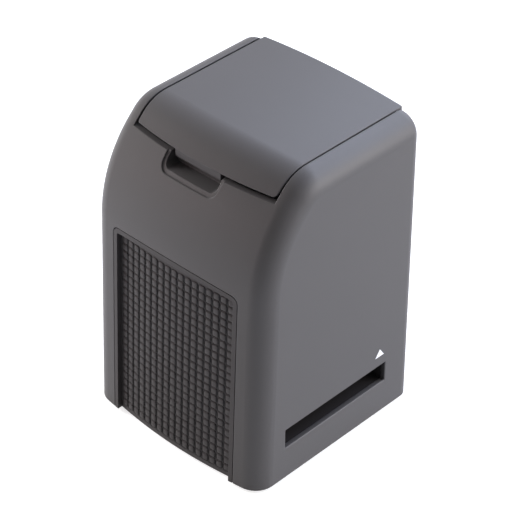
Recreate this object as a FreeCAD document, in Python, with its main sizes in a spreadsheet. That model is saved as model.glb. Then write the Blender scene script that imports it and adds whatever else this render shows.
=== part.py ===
import FreeCAD, Part
import Sketcher
import math
import os
import re

from FreeCAD import Placement, Rotation, Vector

# A film negative scanner: a tall plastic case with a film slot through its
# sides near the bottom, a nubbed grip panel on its front, and a lid on top
# that swings up from a hinge at the back and carries the display. The frame
# is X to the right, Y to the back, Z up, and the origin is on the table
# under the middle of the case.

doc = FreeCAD.newDocument("film_scanner")
sheet = doc.addObject("Spreadsheet::Sheet", "Dims")

DIMS = {
    # the case as a whole
    "case_width": 96.7,
    "case_depth": 99.0,
    "case_height": 146.2,
    "foot_proud": 1.2,
    "middle_back": 1.0,
    "wall": 2.2,
    "seam": 0.25,
    "overrun": 20.0,
    # the side profile, at the middle of the width
    "front_lean": 1.49,
    "back_lean": 0.86,
    "bend_radius": 60.0,
    "slant_angle": 45.0,
    "crease_radius": 18.5,
    "crest_in": 35.8,
    "bow_angle": 60.0,
    # the bow of the front in plan and of the top across the width
    "plan_radius": 308.0,
    "plan_level": 50.0,
    "crown_radius": 450.0,
    "crown_behind": 15.0,
    # rounded edges of the case
    "side_round": 9.6,
    "back_round": 5.0,
    "slot_bevel": 0.5,
    # the film slot and its tunnel
    "slot_long": 62.0,
    "slot_low": 16.0,
    "slot_height": 9.8,
    "guide_wall": 1.6,
    "guide_ease": 0.2,
    "guide_split": 5.0,
    "guide_leg_in": 1.0,
    "gate_width": 38.0,
    "gate_depth": 27.0,
    # the grip panel and its seat
    "panel_side": 13.05,
    "panel_down": 50.9,
    "panel_rise": 1.7,
    "panel_corner": 3.5,
    "panel_bow": 231.0,
    "panel_sunk": 1.4,
    "panel_thick": 3.0,
    "panel_rim": 2.0,
    "panel_gap": 0.4,
    "field_sunk": 0.6,
    # the lid and the bay that it closes
    "cheek_wide": 9.35,
    "lid_gap": 0.9,
    "lid_tall": 9.8,
    "lid_rise": 1.7,
    "lid_in": 2.5,
    "lid_wall": 2.0,
    "lid_bevel": 0.5,
    "lid_back_bevel": 1.0,
    "lid_corner": 1.5,
    "lip_half": 12.5,
    "lip_drop": 3.6,
    "lip_thick": 2.0,
    "lip_in": 19.1,
    "hinge_down": 5.7,
    "barrel_round": 3.8,
    "pin_round": 1.25,
    "pin_play": 0.05,
    "pin_long": 8.3,
    "pin_out": 3.4,
    "washer_round": 3.0,
    "washer_thick": 0.6,
    # the finger notch
    "notch_half": 15.6,
    "notch_aside": 1.2,
    "notch_down": 18.5,
    "notch_corner": 4.2,
    "notch_step": 1.4,
    "notch_sink": 0.8,
    "notch_in": 21.5,
    # the deck under the lid
    "deck_down": 14.9,
    "deck_thick": 2.2,
    "shelf_in": 23.5,
    "ledge_wide": 5.0,
    "deck_post": 2.4,
    "rear_down": 12.9,
    "rear_low": 3.0,
    "flange_wide": 4.0,
    # the keys
    "key_wide": 11.0,
    "key_deep": 7.0,
    "key_proud": 1.6,
    "key_travel": 0.6,
    "key_ease": 0.25,
    "key_round": 1.6,
    "key_crown": 0.5,
    "key_slack": 0.1,
    "key_flange": 1.0,
    "key_brim": 1.2,
    "key_pitch": 16.0,
    "key_row": 8.0,
    "switch_side": 6.0,
    "switch_tall": 2.5,
    "plunger_round": 1.7,
    "plunger_tall": 0.6,
    "board_thick": 1.2,
    "key_board_side": 5.5,
    "key_board_end": 8.5,
    # the base and its feet
    "foot_round": 4.5,
    "foot_sunk": 0.8,
    "foot_side": 12.35,
    "foot_ahead": 19.5,
    "foot_behind": 12.5,
    "post_wide": 7.0,
    "post_tall": 9.0,
    "post_side": 5.75,
    "post_ahead": 13.0,
    "post_behind": 9.0,
    # screws
    "screw_round": 1.2,
    "screw_long": 8.0,
    "small_long": 5.0,
    "head_round": 2.3,
    "head_tall": 1.4,
    # light source under the film
    "light_width": 50.0,
    "light_depth": 42.0,
    "light_wall": 1.5,
    "diffuser_thick": 2.0,
    "led_wide": 3.5,
    "led_deep": 2.8,
    "led_tall": 0.9,
    "led_pitch": 9.5,
    # camera above the film
    "axis_back": 1.5,
    "tower_width": 46.0,
    "tower_depth": 36.0,
    "tower_top": 30.0,
    "tower_wall": 1.8,
    "mount_side": 46.0,
    "mount_thick": 3.0,
    "barrel_out": 7.0,
    "barrel_in": 5.6,
    "barrel_tall": 17.0,
    "barrel_drop": 8.0,
    "lens_thick": 2.2,
    "lens_curve": 14.0,
    "sensor_side": 33.0,
    "sensor_rise": 12.0,
    "sensor_hole": 13.0,
    "pillar_round": 2.4,
    "chip_side": 11.0,
    "chip_tall": 1.4,
    "standoff_deep": 10.0,
    "standoff_tall": 24.0,
    "standoff_round": 3.0,
    # main board and its sockets
    "main_side": 1.0,
    "main_ahead": 19.5,
    "main_thick": 1.6,
    "main_room": 17.6,
    "socket_side": 2.0,
    "socket_in": 2.6,
    "socket_ease": 0.3,
    "card_wide": 27.0,
    "card_deep": 23.5,
    "card_tall": 3.2,
    "card_slot": 24.5,
    "card_slit": 2.3,
    "usb_share": 0.65,
    "usb_wide": 7.8,
    "usb_deep": 9.0,
    "usb_tall": 4.0,
    "usb_skin": 0.5,
    "jack_side": 6.0,
    "jack_deep": 12.0,
    "jack_round": 1.75,
    "chip_wide": 14.0,
    "memory_wide": 10.0,
    "ribbon_side": 2.0,
    "ribbon_ahead": 1.0,
    "ribbon_wide": 10.0,
    "ribbon_thick": 0.3,
    "ribbon_proud": 1.4,
    "ribbon_ease": 1.2,
    # display in the lid
    "bezel_in": 11.2,
    "bezel_thick": 1.5,
    "bezel_sunk": 0.2,
    "display_side": 6.1,
    "display_ahead": 0.3,
    "display_behind": 8.3,
    "display_thick": 3.0,
    "view_side": 4.0,
    "view_end": 2.0,
    "window_thick": 0.8,
    "window_edge": 1.5,
    "driver_side": 4.0,
    "driver_end": 7.0,
    "driver_thick": 1.0,
    "bezel_screw_side": 5.6,
    "bezel_screw_ahead": 2.0,
    "bezel_screw_behind": 4.0,
    "boss_round": 2.6,
}

for row, (alias, number) in enumerate(DIMS.items(), start=1):
    sheet.set("A%d" % row, alias)
    sheet.set("B%d" % row, str(number))
    sheet.setAlias("B%d" % row, alias)
doc.recompute()

# How near a point lies to a face that it is on.
NEAR = 0.01


# Sizes are written as expressions over the sheet. Places are measured from
# the middle of the case's bottom edge, which the feet hold above the table.
# The grip panel is sunk into the front, so the middle of the whole's depth
# lies a little behind the middle of the case's own.

def value(text):
    """The number that an expression over the sheet stands for now."""
    return float(sheet.evalExpression(text))


def cell_name(found):
    """The full name of a cell, for a word that is an alias in the sheet."""
    word = found.group()
    return "Dims." + word if word in DIMS else word


def bind(thing, sizes):
    """Ties properties of an object to expressions over the sheet."""
    for name, text in sizes.items():
        thing.setExpression(name, re.sub("[a-z_]+", cell_name, text))
    return thing


def put(thing, x, y, z):
    """Ties an object's place to expressions over the case's own frame."""
    return bind(thing, {
        "Placement.Base.x": x,
        "Placement.Base.y": f"{y} - middle_back",
        "Placement.Base.z": f"foot_proud + {z}",
    })


def block(name, x0, x1, y0, y1, z0, z1):
    """A box between six expressions."""
    box = doc.addObject("Part::Box", name)
    bind(box, {
        "Length": f"{x1} - ({x0})",
        "Width": f"{y1} - ({y0})",
        "Height": f"{z1} - ({z0})",
    })
    return put(box, x0, y0, f"({z0})")


TURNS = {
    "X": Rotation(Vector(0, 1, 0), 90),
    "Y": Rotation(Vector(1, 0, 0), -90),
    "Z": Rotation(),
}


def rod(name, along, radius, x, y, z, length):
    """A round bar that starts at a point and runs along an axis."""
    bar = doc.addObject("Part::Cylinder", name)
    bar.Placement = Placement(Vector(), TURNS[along])
    bind(bar, {"Radius": radius, "Height": length})
    return put(bar, x, y, f"({z})")


def fuse(name, *pieces):
    joined = doc.addObject("Part::MultiFuse", name)
    joined.Shapes = list(pieces)
    return joined


def group(name, pieces):
    """Several solids that stay apart in one sub-part."""
    held = doc.addObject("Part::Compound", name)
    held.Links = list(pieces)
    return held


def common(name, *pieces):
    shared = doc.addObject("Part::MultiCommon", name)
    shared.Shapes = list(pieces)
    return shared


def cut(name, base, *tools):
    tool = tools[0] if len(tools) == 1 else group(name + "_tools", tools)
    left = doc.addObject("Part::Cut", name)
    left.Base = base
    left.Tool = tool
    return left


def plane_of(body, role):
    """One of a body's own origin planes."""
    for feature in body.Origin.OriginFeatures:
        if feature.Role == role:
            return feature
    raise ValueError("no plane " + role)


def settle(*things):
    """Works out only these objects, in this order."""
    doc.recompute(list(things))


def new_body(name):
    body = doc.addObject("PartDesign::Body", name)
    return put(body, "0", "0", "0")


def new_sketch(body, role, name):
    sketch = body.newObject("Sketcher::SketchObject", name)
    sketch.AttachmentSupport = [(plane_of(body, role), "")]
    sketch.MapMode = "FlatFace"
    return sketch


def limit(sketch, kind, *where, size=None, name=None):
    """Adds a constraint; a sized one is tied to an expression over the sheet."""
    if size is None:
        return sketch.addConstraint(Sketcher.Constraint(kind, *where))
    now = value(size)
    amount = math.radians(now) if kind == "Angle" else now
    index = sketch.addConstraint(Sketcher.Constraint(kind, *where, amount))
    sketch.renameConstraint(index, name)
    unit = " * 1 deg" if kind == "Angle" else ""
    bind(sketch, {"Constraints." + name: f"({size}){unit}"})
    return index


def closed_line(sketch, points):
    """A closed run of straight lines through points, in order."""
    lines = [
        sketch.addGeometry(Part.LineSegment(start, end))
        for start, end in zip(points, points[1:] + points[:1])
    ]
    for first, second in zip(lines, lines[1:] + lines[:1]):
        limit(sketch, "Coincident", first, 2, second, 1)
    return lines


def edge_numbers(shape, test):
    """Numbers of a shape's edges whose points between the ends pass a test."""
    return [
        number for number, edge in enumerate(shape.Edges, start=1)
        if edge.Length > NEAR and all(test(point) for point in edge.discretize(5)[1:-1])
    ]


def edge_names(shape, test):
    return ["Edge%d" % number for number in edge_numbers(shape, test)]


def round_off(body, name, base, edges, radius):
    """A rounding of named edges, as the body's next feature."""
    fillet = body.newObject("PartDesign::Fillet", name)
    fillet.Base = (base, edges)
    bind(fillet, {"Radius": radius})
    settle(fillet)
    return fillet


# The casing's form: a block whose front and top are grooved away outside a
# side profile that turns about a far, tilted axis. The turn gives the front
# its bow in plan and the top its low crown.

HALF = "(case_width / 2)"
FRONT = "(-case_depth / 2)"
BACK = "(case_depth / 2)"
FAR_BACK = f"({BACK} + overrun)"
FAR_FRONT = f"({FRONT} - overrun)"
FAR_TOP = "(case_height + overrun)"
CREST_BACK = f"({FRONT} + crest_in)"


def profile_points(inset):
    """Corners and arc centres of the side profile, set in by a distance."""
    lean = math.radians(value("front_lean"))
    slope = math.radians(value("slant_angle"))
    bend = value("bend_radius") - inset
    crease = value("crease_radius") - inset
    top = value("case_height") - inset
    foot = Vector(inset + value(FRONT), 0, 0)
    up = Vector(math.sin(lean), math.cos(lean), 0)
    back = Vector(math.cos(lean), -math.sin(lean), 0)
    inward = Vector(math.sin(slope), -math.cos(slope), 0)
    crest = Vector(value(CREST_BACK), top, 0)
    crease_centre = crest - Vector(0, crease, 0)
    crease_end = crease_centre - inward * crease
    along = bend + crease_end.dot(inward) - foot.dot(inward) - bend * back.dot(inward)
    bend_start = foot + up * (along / up.dot(inward))
    bend_centre = bend_start + back * bend
    return {
        "low": foot - up * value("overrun"),
        "bend_start": bend_start,
        "bend_centre": bend_centre,
        "bend_end": bend_centre - inward * bend,
        "crease_end": crease_end,
        "crease_centre": crease_centre,
        "crest": crest,
        "top": top,
    }


def groove_sketch(body, name, inset):
    """What is cut away in front of and above the profile, and the far axis."""
    at = profile_points(value(inset))
    rear = value(FAR_BACK)
    ceiling = value(FAR_TOP)
    corners = [
        Vector(rear, at["top"], 0),
        Vector(rear, ceiling, 0),
        Vector(-rear, ceiling, 0),
        Vector(-rear, at["low"].y, 0),
        at["low"],
    ]
    sketch = new_sketch(body, "YZ_Plane", name)
    front_line = sketch.addGeometry(Part.LineSegment(at["low"], at["bend_start"]))
    slope = math.radians(value("slant_angle"))
    lean = math.radians(value("front_lean"))
    half = math.pi / 2
    bend = sketch.addGeometry(Part.ArcOfCircle(
        Part.Circle(at["bend_centre"], Vector(0, 0, 1), (at["bend_start"] - at["bend_centre"]).Length),
        half + slope, 2 * half - lean))
    slant = sketch.addGeometry(Part.LineSegment(at["bend_end"], at["crease_end"]))
    crease = sketch.addGeometry(Part.ArcOfCircle(
        Part.Circle(at["crease_centre"], Vector(0, 0, 1), (at["crest"] - at["crease_centre"]).Length),
        half, half + slope))
    top = sketch.addGeometry(Part.LineSegment(at["crest"], corners[0]))
    sides = [
        sketch.addGeometry(Part.LineSegment(start, end))
        for start, end in zip(corners, corners[1:])
    ]
    far_low = Vector(value("crown_behind"), value("case_height - crown_radius"), 0)
    far_front = Vector(value(f"plan_radius + {FRONT}"), value("plan_level"), 0)
    axis = sketch.addGeometry(Part.LineSegment(far_low, far_front), True)
    limit(sketch, "Tangent", front_line, 2, bend, 2)
    limit(sketch, "Tangent", bend, 1, slant, 1)
    limit(sketch, "Tangent", slant, 2, crease, 2)
    limit(sketch, "Tangent", crease, 1, top, 1)
    limit(sketch, "Coincident", top, 2, sides[0], 1)
    for first, second in zip(sides, sides[1:]):
        limit(sketch, "Coincident", first, 2, second, 1)
    limit(sketch, "Coincident", sides[-1], 2, front_line, 1)
    limit(sketch, "Horizontal", top)
    limit(sketch, "Vertical", sides[0])
    limit(sketch, "Horizontal", sides[1])
    limit(sketch, "Vertical", sides[2])
    limit(sketch, "Horizontal", sides[3])
    limit(sketch, "Angle", front_line, size="90 - front_lean", name="front_angle")
    limit(sketch, "Angle", slant, size="slant_angle", name="slant")
    limit(sketch, "Radius", bend, size=f"bend_radius - ({inset})", name="bend")
    limit(sketch, "Radius", crease, size=f"crease_radius - ({inset})", name="crease")
    limit(sketch, "DistanceX", crease, 1, -1, 1, size=f"-{CREST_BACK}", name="crest")
    limit(sketch, "DistanceY", -1, 1, top, 1, size=f"case_height - ({inset})", name="height")
    limit(sketch, "DistanceY", sides[0], 1, sides[0], 2, size=f"overrun + ({inset})", name="ceiling")
    limit(sketch, "DistanceX", -1, 1, top, 2, size=FAR_BACK, name="rear")
    limit(sketch, "DistanceX", sides[1], 2, -1, 1, size=FAR_BACK, name="front")
    limit(sketch, "DistanceY", front_line, 1, -1, 1, size="overrun * cos(front_lean * 1 deg)", name="low")
    limit(sketch, "DistanceX", front_line, 1, -1, 1,
          size=f"{BACK} - ({inset}) + overrun * sin(front_lean * 1 deg)", name="low_front")
    limit(sketch, "DistanceX", -1, 1, axis, 1, size="crown_behind", name="crown_at")
    limit(sketch, "DistanceY", axis, 1, -1, 1, size="crown_radius - case_height", name="crown_deep")
    limit(sketch, "DistanceX", -1, 1, axis, 2, size=f"plan_radius + {FRONT}", name="plan_at")
    limit(sketch, "DistanceY", -1, 1, axis, 2, size="plan_level", name="plan_level")
    return sketch


def block_sketch(body, name, inset, floor, back):
    """Side view of the block that the groove shapes: its floor and back."""
    low = value(floor)
    high = value("case_height + wall")
    front = value(f"{FRONT} - wall")
    lean = math.tan(math.radians(value("back_lean")))
    rear = value(f"{back} - ({inset})")
    sketch = new_sketch(body, "YZ_Plane", name)
    lines = closed_line(sketch, [
        Vector(front, low, 0),
        Vector(rear - low * lean, low, 0),
        Vector(rear - high * lean, high, 0),
        Vector(front, high, 0),
    ])
    limit(sketch, "Horizontal", lines[0])
    limit(sketch, "Horizontal", lines[2])
    limit(sketch, "Vertical", lines[3])
    limit(sketch, "Angle", lines[1], size="90 + back_lean", name="back_angle")
    limit(sketch, "DistanceY", -1, 1, lines[2], 1, size="case_height + wall", name="high")
    limit(sketch, "DistanceX", lines[2], 2, -1, 1, size=f"{BACK} + wall", name="front")
    limit(sketch, "DistanceY", lines[0], 1, -1, 1, size=f"-({floor})", name="floor")
    limit(sketch, "DistanceX", -1, 1, lines[0], 2,
          size=f"{back} - ({inset}) - ({floor}) * tan(back_lean * 1 deg)", name="rear")
    return sketch


def square_form(name, inset, floor, half_wide=HALF, back=BACK):
    """The casing's form with sharp edges, set in from the outer one."""
    body = new_body(name)
    sketch = block_sketch(body, name + "_side", inset, floor, back)
    pad = body.newObject("PartDesign::Pad", name + "_block")
    pad.Profile = sketch
    pad.Midplane = True
    bind(pad, {"Length": f"2 * ({half_wide} - ({inset}))"})
    settle(sketch, pad)
    profile = groove_sketch(body, name + "_profile", inset)
    groove = body.newObject("PartDesign::Groove", name + "_bow")
    groove.Profile = profile
    groove.ReferenceAxis = (profile, ["Axis0"])
    groove.Midplane = True
    bind(groove, {"Angle": "bow_angle"})
    settle(profile, groove)
    return body


def casing_form(name, inset, floor, half_wide=HALF, back=BACK, side="side_round", corner="back_round"):
    """The casing's form with its sides and back corners rounded."""
    body = square_form(name, inset, floor, half_wide, back)
    half = value(f"{half_wide} - ({inset})")
    rear = value(f"{back} - ({inset})")
    lean = math.tan(math.radians(value("back_lean")))
    low = value(floor)

    def on_side(point):
        return abs(abs(point.x) - half) < NEAR

    def on_back(point):
        return abs(point.y - rear + point.z * lean) < NEAR

    def on_floor(point):
        return abs(point.z - low) < NEAR

    square = body.Tip
    kept = edge_names(square.Shape, on_back) + edge_names(square.Shape, on_floor)
    profile = [edge for edge in edge_names(square.Shape, on_side) if edge not in kept]
    sides = round_off(body, name + "_sides", square, profile, f"{side} - ({inset})")
    upright = edge_names(sides.Shape, lambda point: on_side(point) and on_back(point))
    round_off(body, name + "_corners", sides, upright, f"{corner} - ({inset})")
    settle(body)
    return body


outer_form = casing_form("outer_form", "0", "0")
inner_form = casing_form("inner_form", "wall", "-overrun")
plug_form = casing_form("plug_form", "wall + seam", "-overrun")
lining_form = square_form("lining_form", "2 * wall", "-overrun")
step_form = square_form("step_form", "notch_sink", "-overrun")
settle(lining_form, step_form)


def four_corners(half, front, back):
    """Names and places of the corners between two sides, a front and a back."""
    return [
        ("front_left", f"-{half}", front),
        ("front_right", half, front),
        ("back_left", f"-{half}", back),
        ("back_right", half, back),
    ]


def both_sides(name, x0, x1, y0, y1, z0, z1):
    """The same block on the right and, mirrored, on the left."""
    right = block(name + "_right", x0, x1, y0, y1, z0, z1)
    left = block(name + "_left", f"-({x1})", f"-({x0})", y0, y1, z0, z1)
    return [right, left]


# Grip panel: a moulded insert with a raised rim and rows of small square
# nubs, set in a seat in the lower front of the case.

PANEL_HALF = f"({HALF} - panel_side)"
PANEL_TOP = "(case_height - panel_down)"


def panel_outline(name, inset):
    """The seat's front view, bowed along its top, pushed through the front."""
    half = value(f"{PANEL_HALF} - ({inset})")
    side_top = value(f"{PANEL_TOP} - ({inset})")
    middle = value(f"{PANEL_TOP} + panel_rise - ({inset})")
    low = value("-overrun")
    body = new_body(name)
    sketch = new_sketch(body, "XZ_Plane", name + "_view")
    left = sketch.addGeometry(Part.LineSegment(Vector(-half, side_top, 0), Vector(-half, low, 0)))
    base = sketch.addGeometry(Part.LineSegment(Vector(-half, low, 0), Vector(half, low, 0)))
    right = sketch.addGeometry(Part.LineSegment(Vector(half, low, 0), Vector(half, side_top, 0)))
    top = sketch.addGeometry(Part.Arc(
        Vector(half, side_top, 0), Vector(0, middle, 0), Vector(-half, side_top, 0)))
    limit(sketch, "Coincident", left, 2, base, 1)
    limit(sketch, "Coincident", base, 2, right, 1)
    limit(sketch, "Coincident", right, 2, top, 1)
    limit(sketch, "Coincident", top, 2, left, 1)
    limit(sketch, "Vertical", left)
    limit(sketch, "Vertical", right)
    limit(sketch, "DistanceX", -1, 1, base, 2, size=f"{PANEL_HALF} - ({inset})", name="half")
    limit(sketch, "Symmetric", base, 1, base, 2, -2)
    limit(sketch, "DistanceY", base, 2, -1, 1, size="overrun", name="low")
    limit(sketch, "DistanceY", -1, 1, top, 1, size=f"{PANEL_TOP} - ({inset})", name="side_top")
    limit(sketch, "Radius", top, name="bow",
          size=f"(({PANEL_HALF} - ({inset}))^2 + panel_rise^2) / (2 * panel_rise)")
    pad = body.newObject("PartDesign::Pad", name + "_block")
    pad.Profile = sketch
    pad.Midplane = True
    bind(pad, {"Length": "2 * case_depth"})
    settle(sketch, pad)
    corners = edge_names(pad.Shape, lambda point: abs(abs(point.x) - half) < NEAR
                         and abs(point.z - side_top) < NEAR)
    round_off(body, name + "_corners", pad, corners, f"panel_corner - ({inset})")
    settle(body)
    return body


def bow_core(name, depth):
    """Round core whose front is the panel's face, set back by a distance."""
    core = doc.addObject("Part::Cone", name)
    bind(core, {
        "Radius1": f"panel_bow - ({depth}) + overrun * tan(front_lean * 1 deg)",
        "Radius2": f"panel_bow - ({depth}) - case_height * tan(front_lean * 1 deg)",
        "Height": "case_height + overrun",
    })
    return put(core, "0", f"panel_bow + panel_sunk + {FRONT}", "(-overrun)")


seat_core = bow_core("seat_core", "panel_thick")
seat = cut("seat", panel_outline("seat_line", "0"), seat_core)
backing = common("backing", outer_form, cut(
    "backing_block", panel_outline("backing_line", "-wall"), bow_core("backing_core", "panel_thick + wall")))
panel_blank = common("panel_blank", outer_form, cut(
    "panel_front", panel_outline("insert_line", "panel_gap"), seat_core))
panel_field = cut("panel_field", panel_outline("field_line", "panel_gap + panel_rim"),
                  bow_core("field_core", "field_sunk"))


# Outer shell: front, sides and cheeks in one moulding, open below, with a bay
# for the lid, a finger notch in front of it, and a film slot in each side.

CHEEK_IN = f"({HALF} - cheek_wide)"
CHEEK_OUT = f"({CHEEK_IN} + wall)"
LID_HALF = f"({CHEEK_IN} - lid_gap)"
LID_EDGE = "(case_height - lid_tall)"
BAY_FLOOR = f"({LID_EDGE} - lid_rise)"
BAY_BACK = f"({BACK} - 2 * wall)"
REAR_FRONT = f"({BACK} - 3 * wall)"
DECK_TOP = "(case_height - deck_down)"
DECK_LOW = f"({DECK_TOP} - deck_thick)"
LEDGE_LOW = f"({DECK_LOW} - wall)"
SHELF_BACK = f"({FRONT} + shelf_in)"
LID_BACK = f"({BACK} - lid_in)"
HINGE_BACK = f"({LID_BACK} - barrel_round)"
HINGE_HIGH = "(case_height - hinge_down)"
POST_X = f"({HALF} - post_side)"
POST_FRONT = f"({FRONT} + post_ahead)"
POST_BACK = f"({BACK} - post_behind)"
POSTS = four_corners(POST_X, POST_FRONT, POST_BACK)
LIP_FRONT = f"({FRONT} + lip_in)"
NOTCH_LOW = "(case_height - notch_down)"
NOTCH_BACK = f"({FRONT} + notch_in)"
NOTCH_LEFT = "(-notch_half - notch_aside)"
NOTCH_RIGHT = "(notch_half - notch_aside)"
SLOT_FRONT = "(axis_back - slot_long / 2)"
SLOT_BACK = "(axis_back + slot_long / 2)"
SLOT_TOP = "(slot_low + slot_height)"

lid_bay = block("lid_bay", f"-{CHEEK_IN}", CHEEK_IN, FAR_FRONT, FAR_BACK, BAY_FLOOR, FAR_TOP)
rear_bay = block("rear_bay", f"-{CHEEK_IN}", CHEEK_IN, REAR_FRONT, FAR_BACK, "rear_low", "case_height")
cheek_walls = both_sides("cheek_wall", CHEEK_IN, CHEEK_OUT, FRONT, BAY_BACK, LEDGE_LOW, FAR_TOP)
ledges = both_sides("ledge", f"{CHEEK_IN} - ledge_wide", CHEEK_OUT, f"{SHELF_BACK} - wall", BAY_BACK,
                    LEDGE_LOW, DECK_LOW)
shelf = block("shelf", f"-{CHEEK_OUT}", CHEEK_OUT, FRONT, SHELF_BACK, DECK_LOW, DECK_TOP)
notch_block = block("notch_block", f"{NOTCH_LEFT} - wall", f"{NOTCH_RIGHT} + wall", FRONT, SHELF_BACK,
                    f"{NOTCH_LOW} - wall", BAY_FLOOR)
posts = []
for spot, y in (("front", POST_FRONT), ("back", POST_BACK)):
    posts += both_sides("post_" + spot, f"{POST_X} - post_wide / 2", HALF, f"{y} - post_wide / 2",
                        f"{y} + post_wide / 2", "wall", "wall + post_tall")
hinge_blocks = both_sides("hinge_block", CHEEK_IN, HALF, f"{HINGE_BACK} - post_wide / 2", BAY_BACK,
                          f"{HINGE_HIGH} - post_wide / 2", FAR_TOP)
ribs = common("ribs", outer_form, fuse(
    "rib_blocks", *cheek_walls, *ledges, shelf, notch_block, *posts, *hinge_blocks))
hollow = cut("hollow", outer_form, inner_form)


def front_outline(name, left, right, low, high, corner, back, long):
    """A block with a front view round at its lower corners, running forward."""
    points = [
        Vector(value(left), value(high), 0),
        Vector(value(left), value(low), 0),
        Vector(value(right), value(low), 0),
        Vector(value(right), value(high), 0),
    ]
    body = new_body(name)
    sketch = new_sketch(body, "XZ_Plane", name + "_view")
    lines = closed_line(sketch, points)
    limit(sketch, "Vertical", lines[0])
    limit(sketch, "Vertical", lines[2])
    limit(sketch, "Horizontal", lines[1])
    limit(sketch, "Horizontal", lines[3])
    limit(sketch, "DistanceX", lines[1], 1, -1, 1, size=f"-({left})", name="left")
    limit(sketch, "DistanceX", -1, 1, lines[1], 2, size=right, name="right")
    limit(sketch, "DistanceY", -1, 1, lines[1], 2, size=low, name="low")
    limit(sketch, "DistanceY", -1, 1, lines[3], 1, size=high, name="high")
    pad = body.newObject("PartDesign::Pad", name + "_block")
    pad.Profile = sketch
    bind(pad, {"Length": long})
    settle(sketch, pad)
    sides = (points[1].x, points[2].x)
    floor = points[1].y
    lower = edge_names(pad.Shape, lambda point: abs(point.z - floor) < NEAR
                       and min(abs(point.x - side) for side in sides) < NEAR)
    round_off(body, name + "_corners", pad, lower, corner)
    put(body, "0", back, "0")
    settle(body)
    return body


notch_deep = front_outline(
    "notch_deep", f"{NOTCH_LEFT} + notch_step", f"{NOTCH_RIGHT} - notch_step", f"{NOTCH_LOW} + notch_step",
    "case_height", "notch_corner - notch_step", NOTCH_BACK, "case_depth")
notch_wide = front_outline("notch_wide", NOTCH_LEFT, NOTCH_RIGHT, NOTCH_LOW, "case_height", "notch_corner",
                           NOTCH_BACK, "case_depth")
notch_rim = cut("notch_rim", notch_wide, step_form)
slot = block("slot", f"-{HALF} - overrun", f"{HALF} + overrun", SLOT_FRONT, SLOT_BACK, "slot_low", SLOT_TOP)
DECK_SCREWS = four_corners(f"({CHEEK_IN} - ledge_wide / 2)", f"({SHELF_BACK} + ledge_wide)",
                           f"({REAR_FRONT} - ledge_wide)")
post_paths = [
    rod("post_hole_" + spot, "Z", "screw_round", x, y, "0", "head_tall + screw_long")
    for spot, x, y in POSTS
]
deck_paths = [
    rod("deck_hole_" + spot, "Z", "screw_round", x, y, f"{DECK_TOP} - head_tall - small_long",
        "small_long + head_tall")
    for spot, x, y in DECK_SCREWS
]
pin_path = rod("pin_path", "X", "pin_round + pin_play", f"-({LID_HALF} + pin_out + seam)", HINGE_BACK,
               HINGE_HIGH, f"2 * ({LID_HALF} + pin_out + seam)")
shell_cut = cut("shell_cut", fuse("shell_body", hollow, backing, ribs), seat, lid_bay, rear_bay, slot,
                notch_deep, notch_rim, pin_path, *post_paths, *deck_paths)
shell_cut.Refine = True
doc.recompute()


def in_case(point):
    """A place of the model in the case's own frame."""
    return point - Vector(0, -value("middle_back"), value("foot_proud"))


def round_edges(name, base, radius, test):
    """A small rounding along the edges whose points pass a test."""
    fillet = doc.addObject("Part::Fillet", name)
    fillet.Base = base
    fillet.Edges = [
        (number, value(radius), value(radius))
        for number in edge_numbers(base.Shape, test)
    ]
    return fillet


def slot_edge(point):
    at = in_case(point)
    return (abs(abs(at.x) - value(HALF)) < NEAR
            and value("slot_low") - NEAR < at.z < value(SLOT_TOP) + NEAR)


parts = {}
parts["outer_shell"] = round_edges("outer_shell", shell_cut, "slot_bevel", slot_edge)


# The grip panel's rim stands level with the case, round a sunk field.

parts["grip_panel"] = cut("grip_panel", panel_blank, panel_field)


# Base plate, closing the case from below, with four screws and four feet.

base_slab = cut(
    "base_slab",
    common("base_level", plug_form, block("base_block", f"-{HALF}", HALF, FAR_FRONT, FAR_BACK, "0", "wall")),
    cut("base_front", panel_outline("base_line", "-(wall + seam)"),
        bow_core("base_core", "panel_thick + wall + seam")))
FEET = four_corners(f"({HALF} - foot_side)", f"({FRONT} + foot_ahead)", f"({BACK} - foot_behind)")
foot_holes = [rod("foot_hole_" + spot, "Z", "foot_round", x, y, "0", "foot_sunk") for spot, x, y in FEET]
base_holes = [rod("base_hole_" + spot, "Z", "screw_round", x, y, "0", "wall") for spot, x, y in POSTS]
base_sinks = [rod("base_sink_" + spot, "Z", "head_round", x, y, "0", "head_tall") for spot, x, y in POSTS]
parts["base_plate"] = cut("base_plate", base_slab, *foot_holes, *base_holes, *base_sinks)


def foot(name, x, y):
    """A rubber foot, bevelled round its tread."""
    disc = rod(name + "_disc", "Z", "foot_round", x, y, "(-foot_proud)", "foot_proud + foot_sunk")
    tread = doc.addObject("Part::Cone", name + "_tread")
    bind(tread, {
        "Radius1": "foot_round - foot_proud / 2",
        "Radius2": "foot_round + overrun",
        "Height": "foot_proud / 2 + overrun",
    })
    put(tread, x, y, "(-foot_proud)")
    return common(name, disc, tread)


def screw(name, x, y, seat, long, up):
    """A pan-head screw whose head bears on a face at a given height."""
    shaft = rod(name + "_shaft", "Z", "screw_round", x, y, seat if up else f"{seat} - ({long})", long)
    head = rod(name + "_head", "Z", "head_round", x, y, f"{seat} - head_tall" if up else seat, "head_tall")
    return fuse(name, shaft, head)


for spot, x, y in FEET:
    parts["foot_" + spot] = foot("foot_" + spot, x, y)
parts["base_screws"] = group("base_screws", [
    screw("base_screw_" + spot, x, y, "head_tall", "screw_long", True)
    for spot, x, y in POSTS
])


# Light source on the base: a white tray, its board of lamps and a diffuser.

TUNNEL_LOW = "(slot_low - guide_ease)"
LIGHT_TOP = f"({TUNNEL_LOW} - guide_wall - diffuser_thick)"
LIGHT_FLOOR = "(wall + light_wall)"
LAMP_LOW = f"({LIGHT_FLOOR} + board_thick)"


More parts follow.
